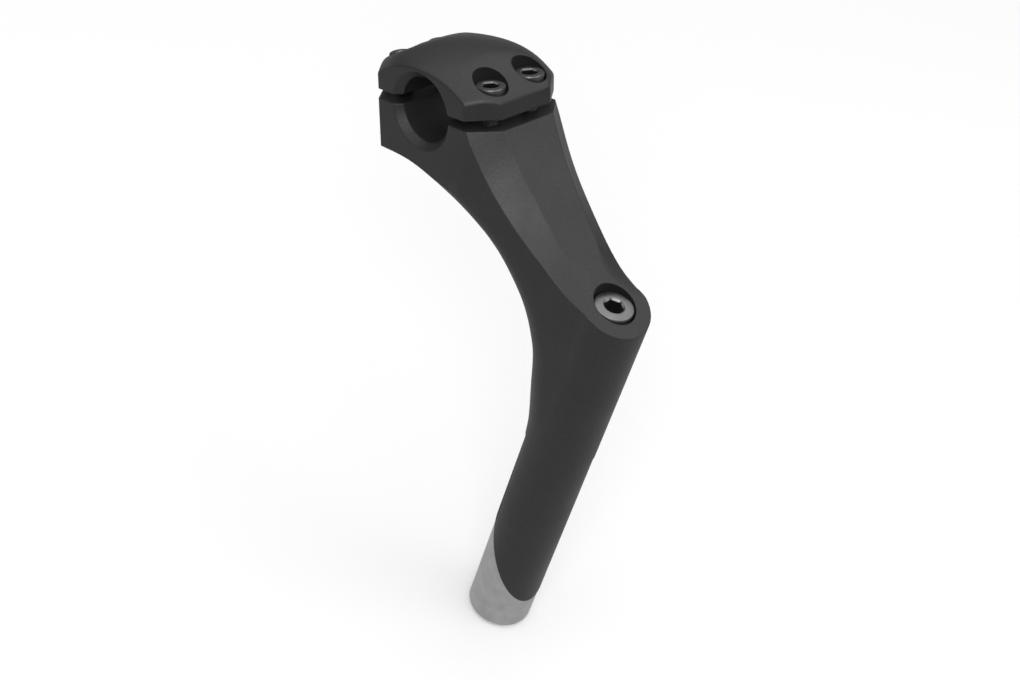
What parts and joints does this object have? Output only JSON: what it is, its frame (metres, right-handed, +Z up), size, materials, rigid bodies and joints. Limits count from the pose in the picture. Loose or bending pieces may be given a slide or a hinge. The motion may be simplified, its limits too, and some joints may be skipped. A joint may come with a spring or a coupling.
{
  "type": "handlebar stem",
  "caption": "Black forged quill stem for a bicycle with a threaded headset, with a loose top clamp cap, socket-head clamp bolts and an expander wedge.",
  "frame": {"origin": "on the quill's axis, at the line where the quill enters the headset's locknut", "axes": "+Z up along the quill, +Y forward towards the handlebar, +X along the handlebar to the rider's right"},
  "size_m": [0.041, 0.1253, 0.2104],
  "materials": {
    "body_coat": "fine-grained matte black powder coat on forged aluminium",
    "bolt_steel": "dark satin plated steel",
    "washer_steel": "satin plated steel",
    "wedge_alloy": "turned bare aluminium"
  },
  "bodies": {
    "stem": {"stem_body": "body_coat", "expander_washer": "washer_steel"},
    "cap": {"clamp_cap": "body_coat"},
    "wedge": {"expander_wedge": "wedge_alloy"},
    "long_bolt": {"expander_bolt": "bolt_steel"},
    "bolt_rear_left": {"clamp_bolt_rear_left": "bolt_steel"},
    "bolt_rear_right": {"clamp_bolt_rear_right": "bolt_steel"},
    "bolt_front_left": {"clamp_bolt_front_left": "bolt_steel"},
    "bolt_front_right": {"clamp_bolt_front_right": "bolt_steel"}
  },
  "joints": [
    {"name": "cap_lift", "type": "slide", "parent": "stem", "child": "cap", "axis": [0, 0.3338, 0.9426], "range_m": [0, 0.014]},
    {"name": "rear_left_spin", "type": "hinge", "parent": "cap", "child": "bolt_rear_left", "pos_m": [-0.00873, 0.06578, 0.10865], "axis": [0, 0.3338, 0.9426], "range_deg": [0, 5040]},
    {"name": "rear_right_spin", "type": "hinge", "parent": "cap", "child": "bolt_rear_right", "pos_m": [0.00873, 0.06578, 0.10865], "axis": [0, 0.3338, 0.9426], "range_deg": [0, 5040]},
    {"name": "front_left_spin", "type": "hinge", "parent": "cap", "child": "bolt_front_left", "pos_m": [-0.00873, 0.10537, 0.09463], "axis": [0, 0.3338, 0.9426], "range_deg": [0, 5040]},
    {"name": "front_right_spin", "type": "hinge", "parent": "cap", "child": "bolt_front_right", "pos_m": [0.00873, 0.10537, 0.09463], "axis": [0, 0.3338, 0.9426], "range_deg": [0, 5040]},
    {"name": "expander_spin", "type": "hinge", "parent": "stem", "child": "long_bolt", "pos_m": [0, 0, 0.0592], "axis": [0, 0, 1], "range_deg": [0, 2880]},
    {"name": "wedge_drop", "type": "slide", "parent": "stem", "child": "wedge", "axis": [0, 0, -1], "range_m": [0, 0.01]}
  ],
  "couplings": [
    {"joint": "rear_left_spin", "follows": "cap_lift", "rad_per_m": 6283.2},
    {"joint": "rear_right_spin", "follows": "cap_lift", "rad_per_m": 6283.2},
    {"joint": "front_left_spin", "follows": "cap_lift", "rad_per_m": 6283.2},
    {"joint": "front_right_spin", "follows": "cap_lift", "rad_per_m": 6283.2},
    {"joint": "expander_spin", "follows": "wedge_drop", "rad_per_m": 5026.5}
  ]
}
